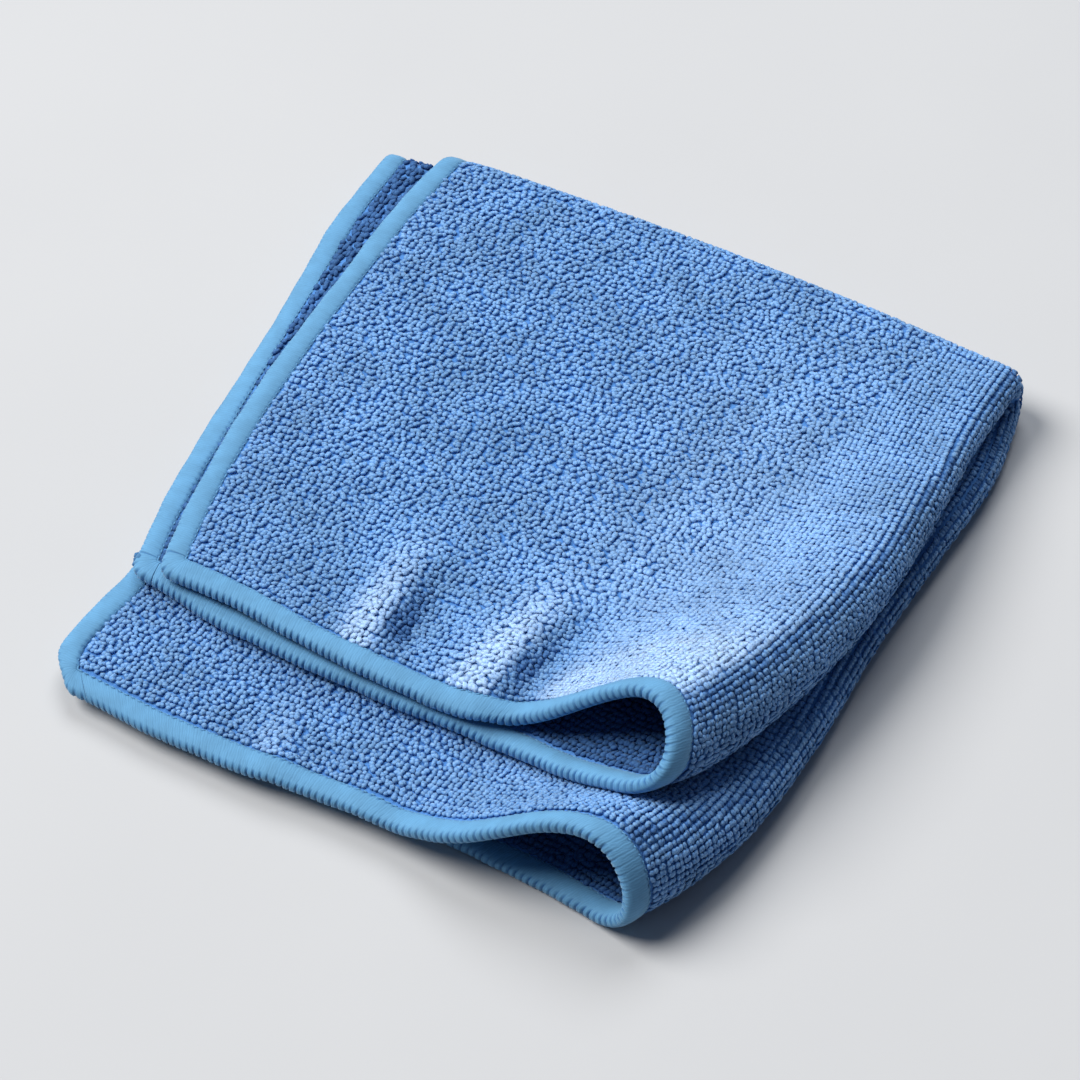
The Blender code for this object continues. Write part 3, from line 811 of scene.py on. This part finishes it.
# The needle's line of stitches, and the knot that ends the thread.
NEEDLE_IN = 0.0050      # from the band's outer edge
NEEDLE_LIFT = 0.00115   # above the middle of the cloth
NEEDLE_SIZE = (0.00020, 0.00062, 0.00020)       # half a stitch's sides
NEEDLE_SPREAD = 0.15
NEEDLE_SEED = SEED + 40
KNOT_LUMPS = 20
KNOT_SIZE = (0.0013, 0.0017, 0.0010)
KNOT_ASIDE = (-0.0007, 0.0032, 0.0000)          # from the corner
KNOT_LOOSE = 0.4        # how far its lumps lie from its middle, for a knot one wide
KNOT_LUMP = (0.5, 0.9)  # half a lump's sides, for a knot one wide
KNOT_DARK = (0.3, 0.8)
KNOT_SEED = SEED + 50


def corner_spots(outer, half, sign, radius):
    """The band round one corner, from its front hem to its left hem; the upper front hem laps over."""
    hem = half[-1].along
    turns = np.linspace(0, math.pi / 2, CORNER_STEPS)
    ends = BAND_WIDE - SEAM_WIDE * np.arange(3)      # three rings at each end, for the seam between them
    from_left = np.concatenate((ends, radius * (1 - np.sin(turns)), 0 * ends))
    from_front = np.concatenate((0 * ends, radius * (1 - np.cos(turns)), ends[::-1]))
    along = sign * (hem - from_front)
    within = np.full(along.shape, sign * (hem - BAND_WIDE))
    side = np.full(along.shape, outer)
    seam = np.zeros(along.shape)
    seam[-2 if sign > 0 else 1] = 1.0
    outside = hem_zone(side, along, from_left)
    return np.stack((outside, along, hem_zone(side, within, BAND_WIDE), within, seam), axis=1)


def front_spots(half, sign):
    """The band along a front hem, from the inner sheet's side to the outer one's."""
    hem = half[-1].along
    along = np.full(1, sign * (hem - BAND_WIDE))
    zones = zones_at(along, np.linspace(-1, 1, DENSE_STEPS), BAND_WIDE)[0]
    ones = np.ones(zones.shape)
    return np.stack((zones, ones * sign * hem, zones, ones * sign * (hem - BAND_WIDE), 0 * ones), axis=1)


def side_spots(outer):
    """The band along a left hem, from the lower half to the upper one."""
    lower_end = LOWER_HALF[-1].along - BAND_WIDE
    upper_end = UPPER_HALF[-1].along - BAND_WIDE
    along = np.linspace(-lower_end, upper_end, DENSE_STEPS)[1:-1]
    side = np.full(along.shape, outer)
    edge = np.where(side, HEM_ZONE, -HEM_ZONE)
    return np.stack((edge, along, hem_zone(side, along, BAND_WIDE), along, 0 * along), axis=1)


def band_spots():
    """Rings round the rim: `across` and along of the outer edge, the same of the inner one, and the seam."""
    spots = np.concatenate((
        front_spots(UPPER_HALF, 1),
        corner_spots(True, UPPER_HALF, 1, ROUND_CORNER),
        side_spots(True)[::-1],
        corner_spots(True, LOWER_HALF, -1, ROUND_CORNER)[::-1],
        front_spots(LOWER_HALF, -1)[::-1],
        corner_spots(False, LOWER_HALF, -1, SHARP_CORNER),
        side_spots(False),
        corner_spots(False, UPPER_HALF, 1, ROUND_CORNER)[::-1],
    ))
    spots = np.concatenate((spots, spots[:1]))
    line = place(*(STITCH_LINE * spots[:, :2] + (1 - STITCH_LINE) * spots[:, 2:4]).T)
    reach = np.concatenate(([0.0], np.linalg.norm(np.diff(line, axis=0), axis=1).cumsum()))
    stitches = round(reach[-1] / STITCH)
    wanted = np.linspace(0, reach[-1], stitches * STITCH_STEPS, endpoint=False)
    return np.stack([np.interp(wanted, reach, column) for column in spots.T], axis=1)


def bulged(value):
    """A cosine or sine, pushed out towards a rectangle's sides."""
    return np.sign(value) * abs(value) ** BAND_FULLNESS


def wrapped(angle):
    """The same angle, from half a turn below 0 to half a turn above."""
    return (angle + math.pi) % (2 * math.pi) - math.pi


def marks(phase, turn, width, middle, length):
    """One mark on each stitch: 1 in its middle and 0 off it, for each ring and side of the band."""
    beside = (phase + 0.5) % 1 - 0.5
    return np.exp(-((beside / width) ** 2) - (wrapped(turn - middle) / length) ** 4)


def band_relief(stitch, turn, seam, front, level, rng):
    """(height of the band's surface above its profile, how dark its painted shade is) for each ring and side.
    """
    uneven = np.repeat(rng.uniform(*UNEVEN, len(stitch) // STITCH_STEPS), STITCH_STEPS)[:, None]
    phase = stitch[:, None] + STITCH_BOW * np.cos(turn)
    ridge = -np.cos(2 * math.pi * THREADS * phase)
    slot = marks(phase, turn, SLOT_WIDE, SLOT_AT, SLOT_LONG)
    slot += SLOT_OUTSIDE * level[:, None] * marks(phase, turn, SLOT_WIDE, -SLOT_AT, SLOT_LONG)
    slot *= SLOT_ON_SIDE + (1 - SLOT_ON_SIDE) * front[:, None]
    hole = sum(marks(phase, turn, HOLE_WIDE, middle, HOLE_LONG) for middle in (HOLE_AT, -HOLE_AT))
    rim = np.exp(-((wrapped(turn) / RIM_LONG) ** 2))
    # Painted shade: darker into the crease at the inner edge, in the slots and holes, and at the seams
    crease = CREASE_DARK * np.exp(-((turn - math.pi) / CREASE_LONG) ** 2)
    seam = seam[:, None] * np.sqrt(abs(np.sin(turn)))
    height = (RIB_HIGH + RIM_TEETH * rim) * ridge - SEAM_DEEP * seam
    height -= uneven * (SLOT_DEEP * slot + HOLE_DEEP * hole)
    return height, np.clip(uneven * (SLOT_DARK * slot + HOLE_DARK * hole) + crease + seam, 0, 1)


def band_mesh(rng):
    """Points, faces, UV map (stitches round the rim, share round the band) and painted shade of the band."""
    spots = band_spots()
    rings = len(spots)
    stitch = np.arange(rings) / STITCH_STEPS
    outer, inner = spots[:, :2].T, spots[:, 2:4].T
    middle, up = place(*(outer + inner) / 2), normal(*(outer + inner) / 2)
    out = place(*outer) - place(*inner)
    wide = np.linalg.norm(out, axis=1, keepdims=True)
    out /= wide
    share = np.arange(rings)[:, None] / rings
    waves = sum(high * np.sin(2 * math.pi * times * share + times) for high, times in EDGE_WAVES)
    turn = 2 * math.pi * (np.arange(BAND_SIDES)[None, :] + 0.5) / BAND_SIDES
    relief, dark = band_relief(stitch, turn, spots[:, 4], abs(out[:, 1]), up[:, 2] ** 2, rng)
    aside = (wide / 2 + waves) * bulged(np.cos(turn)) + relief * np.cos(turn)
    above = BAND_THICK / 2 * bulged(np.sin(turn)) + relief * np.sin(turn)
    points = settled(middle[:, None] + out[:, None] * aside[..., None] + up[:, None] * above[..., None])
    here = np.arange(rings)[:, None] * BAND_SIDES
    there = (np.arange(rings)[:, None] + 1) % rings * BAND_SIDES
    side = np.arange(BAND_SIDES)[None, :]
    beside = (side + 1) % BAND_SIDES
    faces = np.stack((here + side, there + side, there + beside, here + beside), axis=-1).reshape(-1, 4)
    across = np.stack((side, side, side + 1, side + 1), axis=-1) / BAND_SIDES
    next_stitch = stitch + 1 / STITCH_STEPS
    round_rim = np.stack((stitch, next_stitch, next_stitch, stitch), axis=-1)
    uv = np.stack(np.broadcast_arrays(round_rim[:, None], across), axis=-1).reshape(-1, 2)
    return points.reshape(-1, 3), faces, uv, dark.ravel()


def add_needle_line(face, tree, material):
    """The needle's stitches on one face of the band."""
    rng = np.random.default_rng(NEEDLE_SEED + face)
    spots = band_spots()[::STITCH_STEPS]
    share = NEEDLE_IN / BAND_WIDE
    zones, along = (spots[:, :2] * (1 - share) + spots[:, 2:4] * share).T
    points, facing, _ = on_cloth(zones, along, face, NEEDLE_LIFT)
    course = unit(np.roll(points, -1, axis=0) - np.roll(points, 1, axis=0))
    size = np.array(NEEDLE_SIZE) * rng.uniform(1 - NEEDLE_SPREAD, 1 + NEEDLE_SPREAD, (len(points), 3))
    shade = rng.uniform(1 - SHADE_SPREAD, 1 + SHADE_SPREAD, len(points))
    values_of = {"facing": facing, "course": course, "lump_size": size, "shade": shade}
    name = "needle_line_outside" if face == OUTSIDE else "needle_line_inside"
    obj = points_object(name, settled(points), values_of, material)
    return made_by(obj, tree, Lean=0.12, Twist=0.25, Uneven=0.00015, Material=material)


def add_knot(tree, material):
    """The small knot that ends the thread, on the front corner of layer 2."""
    rng = np.random.default_rng(KNOT_SEED)
    spots = corner_spots(False, UPPER_HALF, 1, ROUND_CORNER)
    tip = place(*spots[len(spots) // 2, :2][:, None])
    points = tip + KNOT_ASIDE + rng.normal(0, KNOT_LOOSE, (KNOT_LUMPS, 3)) * KNOT_SIZE
    facing, course = rng.normal(0, 1, (2, KNOT_LUMPS, 3))
    course = unit(np.cross(facing, course))
    size = rng.uniform(*KNOT_LUMP, (KNOT_LUMPS, 3)) * KNOT_SIZE[0]
    dark = rng.uniform(*KNOT_DARK, KNOT_LUMPS)
    values_of = {"facing": unit(facing), "course": course, "lump_size": size, "dark": dark,
                 "shade": np.ones(KNOT_LUMPS)}
    obj = points_object("thread_knot", settled(points), values_of, material)
    return made_by(obj, tree, Material=material)


# ---------------------------------------------------------------- materials

# The pile's blue, with painted shade low between the loops and painted light on their tips
PILE_SHADED_ROOT = (0.092, 0.250, 0.560, 1.0)
PILE_LIT_TIP = (0.215, 0.400, 0.660, 1.0)
PILE_LIT_PALE = (0.370, 0.520, 0.750, 1.0)
INSIDE_SHADED_ROOT = (0.045, 0.145, 0.420, 1.0)        # painted shade inside the loops, where a loop shades the pile
INSIDE_SHADED_TIP = (0.095, 0.250, 0.560, 1.0)
INSIDE_SHADES = (0.65, 0.85)    # up to the first shade the pile has the painted shade colours of the inside, past the second none
PILE_TIPS = (0.38, 0.95)        # from where to where up a lump the painted light of its tip comes in
PILE_SHEEN = 0.60
PILE_SHEEN_FADE = 3.0           # how fast the sheen goes as the pile gets darker
PILE_SHEEN_COLOR = (0.65, 0.80, 1.0, 1.0)
KNIT_DEEP = (0.065, 0.210, 0.520, 1.0)
KNIT_LIGHT = (0.080, 0.240, 0.570, 1.0)
THREAD_COLOR = (0.108, 0.295, 0.500, 1.0)
# painted shade of the band's slots, holes, crease and seams, and the colour of the knot's darker lumps
SLOT_COLOR = (0.016, 0.100, 0.270, 1.0)
THREAD_SHEEN_COLOR = (0.70, 0.88, 1.0, 1.0)
STRANDS = 3             # lines of fibre to a stitch
STRAND_WANDER = 0.55    # how far they wander, in stitches
FLOOR_DEEP = (0.50, 0.502, 0.507, 1.0)
FLOOR_LIGHT = (0.54, 0.542, 0.545, 1.0)

# Ranges of the fibres' mask and what each is taken to, and the range of noise that makes patches of dye.
FIBRES_OF_TIP = ((0.33, 0.62), (0.15, 1.0))
FIBRES_OF_PALE = ((0.30, 0.60), (0.45, 0.85))
DYE_PATCHES = (0.3, 0.7)
STRAND_SHADES = (0.10, 0.94)    # painted light on a strand and painted shade in the dips: how much brighter a strand is than the dips, and how bright those are


def new_material(name):
    """(a material, its node tree, its shader)."""
    material = bpy.data.materials.new(name)
    material.use_nodes = True
    tree = material.node_tree
    return material, tree, tree.nodes["Principled BSDF"]


def attribute(tree, name):
    """A value that the mesh carries."""
    return add_node(tree, "ShaderNodeAttribute", attribute_name=name).outputs["Fac"]


def noise(tree, scale, detail=2.0):
    """Soft noise that is fixed to the piece."""
    where = add_node(tree, "ShaderNodeTexCoord").outputs["Object"]
    inputs = {"Vector": where, "Scale": scale, "Detail": detail}
    return add_node(tree, "ShaderNodeTexNoise", inputs).outputs["Fac"]


def brightened(tree, color, factor):
    """A colour times a value."""
    return mixed_color(tree, 1.0, color, combined(tree, factor, factor, factor), "MULTIPLY")


def ramped(tree, value, from_range, to_range=(0.0, 1.0)):
    """value, taken from one range to another on a smooth step."""
    inputs = {"Value": value, "From Min": from_range[0], "From Max": from_range[1],
              "To Min": to_range[0], "To Max": to_range[1]}
    return add_node(tree, "ShaderNodeMapRange", inputs, interpolation_type="SMOOTHSTEP").outputs[0]


def fibre_group():
    """Fine fibres: a mask, and a normal in which they lie on top of a pattern's height."""
    tree, given = new_group("fine_fibres", "ShaderNodeTree", {
        "Scale": ("Float", 2000.0),
        "Pattern": ("Float", 0.0),
        "Share": ("Float", 1.0),
        "Strength": ("Float", 0.5),
        "Distance": ("Float", 0.0002),
    }, {"Fibres": "Float", "Normal": "Vector"})
    fibres = noise(tree, given["Scale"])
    height = math_node(tree, "MULTIPLY_ADD", fibres, given["Share"], given["Pattern"])
    bump = add_node(tree, "ShaderNodeBump", {"Height": height, "Strength": given["Strength"],
                                             "Distance": given["Distance"]})
    add_node(tree, "NodeGroupOutput", {"Fibres": fibres, "Normal": bump.outputs[0]})
    return tree


def dye_group():
    """A colour, a little deeper and lighter in soft patches."""
    tree, given = new_group("uneven_dye", "ShaderNodeTree", {
        "Color": ("Color", None),
        "Scale": ("Float", 60.0),
        "Spread": ("Float", 0.1),
    }, {"Color": "Color"})
    spread = [math_node(tree, operation, 1.0, given["Spread"]) for operation in ("SUBTRACT", "ADD")]
    patches = ramped(tree, noise(tree, given["Scale"], detail=3.0), DYE_PATCHES, spread)
    add_node(tree, "NodeGroupOutput", {"Color": brightened(tree, given["Color"], patches)})
    return tree


def placed_group(tree, group, inputs):
    """The outputs of a node group that is placed in a material."""
    return add_node(tree, "ShaderNodeGroup", inputs, node_tree=group).outputs


def pile_material(fibre, dye):
    """The looped pile: painted shade between the loops and painted light on their tips, painted shade inside
    the loops, and painted light, palest, on the lit ridges.
    """
    material, tree, shader = new_material("looped_pile")
    hair = placed_group(tree, fibre, {"Scale": 2300.0, "Strength": 0.7, "Distance": 0.00022})
    fibres, shade = hair["Fibres"], attribute(tree, "shade")
    # Painted shade low on each lump, between the loops, and painted light on its tip
    height = ramped(tree, attribute(tree, "tip"), PILE_TIPS)
    raised = math_node(tree, "MULTIPLY", height, ramped(tree, fibres, *FIBRES_OF_TIP))
    # Painted shade inside the loops, where the shade value is low
    inside = mixed_color(tree, raised, INSIDE_SHADED_ROOT, INSIDE_SHADED_TIP)
    color = mixed_color(tree, raised, PILE_SHADED_ROOT, PILE_LIT_TIP)
    color = mixed_color(tree, ramped(tree, shade, INSIDE_SHADES), inside, color)
    # Painted light: paler on the ridges' lit flanks
    pale = math_node(tree, "MULTIPLY", attribute(tree, "brushed_and_lit"), ramped(tree, fibres, *FIBRES_OF_PALE))
    color = brightened(tree, mixed_color(tree, pale, color, PILE_LIT_PALE), shade)
    dyed = placed_group(tree, dye, {"Color": color, "Scale": 62.0, "Spread": 0.13})
    sheen = math_node(tree, "MULTIPLY", math_node(tree, "POWER", shade, PILE_SHEEN_FADE), height)
    feed(tree, shader, {
        "Base Color": dyed["Color"],
        "Roughness": 0.9,
        "Normal": hair["Normal"],
        "Sheen Weight": math_node(tree, "MULTIPLY", sheen, PILE_SHEEN),
        "Sheen Roughness": 0.4,
        "Sheen Tint": PILE_SHEEN_COLOR,
        "Specular IOR Level": 0.15,
    })
    return material


def ground_material(fibre):
    """The knit under the pile."""
    material, tree, shader = new_material("knit_ground")
    knit = placed_group(tree, fibre, {"Scale": 1600.0, "Strength": 0.6, "Distance": 0.0003})
    feed(tree, shader, {
        "Base Color": mixed_color(tree, knit["Fibres"], KNIT_DEEP, KNIT_LIGHT),
        "Roughness": 0.95,
        "Normal": knit["Normal"],
        "Sheen Weight": 0.25,
        "Sheen Roughness": 0.4,
        "Specular IOR Level": 0.2,
    })
    return material


def thread_material(fibre, dye):
    """The thread of the edge, its strands following the wraps, with painted light on them and painted shade in
    its marks.
    """
    material, tree, shader = new_material("overlock_thread")
    uv = add_node(tree, "ShaderNodeUVMap", uv_map="threads").outputs[0]
    turns = math_node(tree, "MULTIPLY_ADD", noise(tree, 700.0), STRAND_WANDER, parts_of(tree, uv)["X"])
    lines = math_node(tree, "SINE", math_node(tree, "MULTIPLY", turns, 2 * math.pi * STRANDS))
    lines = math_node(tree, "MULTIPLY_ADD", lines, 0.5, 0.5)
    hair = placed_group(tree, fibre, {"Scale": 4500.0, "Pattern": lines, "Share": 0.5,
                                      "Strength": 0.3, "Distance": 0.00006})
    # Painted shade in the band's marks; on the knot, its darker lumps
    color = mixed_color(tree, attribute(tree, "dark"), THREAD_COLOR, SLOT_COLOR)
    # Painted light on the strands and painted shade in the dips between them
    color = brightened(tree, color, math_node(tree, "MULTIPLY_ADD", lines, *STRAND_SHADES))
    dyed = placed_group(tree, dye, {"Color": color, "Scale": 260.0, "Spread": 0.07})
    feed(tree, shader, {
        "Base Color": dyed["Color"],
        "Roughness": 0.75,
        "Normal": hair["Normal"],
        "Sheen Weight": 0.35,
        "Sheen Roughness": 0.4,
        "Sheen Tint": THREAD_SHEEN_COLOR,
        "Specular IOR Level": 0.3,
    })
    return material


def floor_material():
    """A plain pale floor."""
    material, tree, shader = new_material("pale_floor")
    color = mixed_color(tree, noise(tree, 9.0, detail=4.0), FLOOR_DEEP, FLOOR_LIGHT)
    feed(tree, shader, {"Base Color": color, "Roughness": 0.6, "Specular IOR Level": 0.25})
    return material


# ---------------------------------------------------------------- the pieces

def mesh_object(name, points, faces, material):
    """A smooth mesh."""
    mesh = bpy.data.meshes.new(name)
    mesh.from_pydata(points, [], faces)
    mesh.materials.append(material)
    mesh.update()
    mesh.shade_smooth()
    return new_object(name, mesh)


def add_ground(material):
    """(the knitted ground, a tree of its faces for casting rays)."""
    points, faces = ground_mesh()
    obj = mesh_object("terry_ground", points, faces, material)
    return obj, BVHTree.FromPolygons(points, faces)


def add_band(material):
    """The overlocked edge."""
    points, faces, uv, dark = band_mesh(np.random.default_rng(BAND_SEED))
    obj = mesh_object("edge_band", points.tolist(), faces.tolist(), material)
    obj.data.uv_layers.new(name="threads").data.foreach_set("uv", uv.astype(np.float32).ravel())
    obj.data.attributes.new("dark", "FLOAT", "POINT").data.foreach_set("value", dark.astype(np.float32))
    return obj


def build_cloth():
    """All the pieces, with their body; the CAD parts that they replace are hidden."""
    fibre, dye = fibre_group(), dye_group()
    ground, tree = add_ground(ground_material(fibre))
    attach(ground, "root")
    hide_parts("terry_cloth")
    seen = {face: seen_map(tree, face) for face in (OUTSIDE, INSIDE)}
    lumps = lump_tree()
    soft = pile_material(fibre, dye)
    piles = [add_pile(pile, seen, lumps, soft) for pile in PILES]
    for piece in piles:
        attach(piece, "root")
    thread = thread_material(fibre, dye)
    band = add_band(thread)
    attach(band, "root")
    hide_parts("edge_binding")
    sewing = [add_needle_line(face, lumps, thread) for face in (OUTSIDE, INSIDE)]
    sewing.append(add_knot(lumps, thread))
    for piece in sewing:
        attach(piece, "root")


# ---------------------------------------------------------------- floor, light and camera

CAMERA_TURN = math.radians(27)
CAMERA_HEIGHT = math.radians(50)
CAMERA_PLACE = (0.20574, -0.40383, 0.53857)
CAMERA_LENS = 110
CAMERA_SENSOR = 36
CAMERA_SEES = (0.01, 20)

# Round lamps that face the cloth.
Lamp = namedtuple("Lamp", "name place wide power color")
LAMPS = (
    Lamp("key", (-2.60, -0.51, 3.20), 2.70, 228.0, (1.0, 0.985, 0.96)),
    Lamp("top_fill", (-0.80, 2.40, 3.36), 2.56, 96.0, (0.95, 0.975, 1.0)),
)
WORLD_COLOR = (0.52, 0.68, 1.0, 1.0)
WORLD_STRENGTH = 0.13
FLOOR_HALF = 2.0


def add_floor():
    """The floor, which isn't part of the cloth."""
    corners = [(x * FLOOR_HALF, y * FLOOR_HALF, 0) for x, y in ((-1, -1), (1, -1), (1, 1), (-1, 1))]
    floor = mesh_object("floor", corners, [(0, 1, 2, 3)], floor_material())


def add_lamps():
    """The lamps, and the pale blue light from all round."""
    for lamp in LAMPS:
        data = bpy.data.lights.new(lamp.name, "AREA")
        data.shape = "DISK"
        data.size = lamp.wide
        data.energy = lamp.power
        data.color = lamp.color
        obj = new_object(lamp.name, data)
        obj.location = lamp.place
        obj.rotation_euler = (-Vector(lamp.place)).to_track_quat("-Z", "Y").to_euler()
    world = bpy.data.worlds.new("studio")
    world.use_nodes = True
    background = world.node_tree.nodes["Background"]
    feed(world.node_tree, background, {"Color": WORLD_COLOR, "Strength": WORLD_STRENGTH})
    bpy.context.scene.world = world


def add_camera():
    """The photograph's view: level sideways, turned to the right and looking down."""
    data = bpy.data.cameras.new("camera")
    data.lens = CAMERA_LENS
    data.sensor_width = CAMERA_SENSOR
    data.clip_start, data.clip_end = CAMERA_SEES
    camera = new_object("camera", data)
    level = math.cos(CAMERA_HEIGHT)
    forward = Vector((-math.sin(CAMERA_TURN) * level, math.cos(CAMERA_TURN) * level,
                      -math.sin(CAMERA_HEIGHT)))
    right = Vector((math.cos(CAMERA_TURN), math.sin(CAMERA_TURN), 0))
    turned = Matrix((right, right.cross(forward), -forward)).transposed()
    camera.matrix_world = Matrix.Translation(CAMERA_PLACE) @ turned.to_4x4()
    bpy.context.scene.camera = camera
    bpy.context.scene.view_settings.view_transform = "Standard"


add_floor()
add_lamps()
add_camera()
build_cloth()
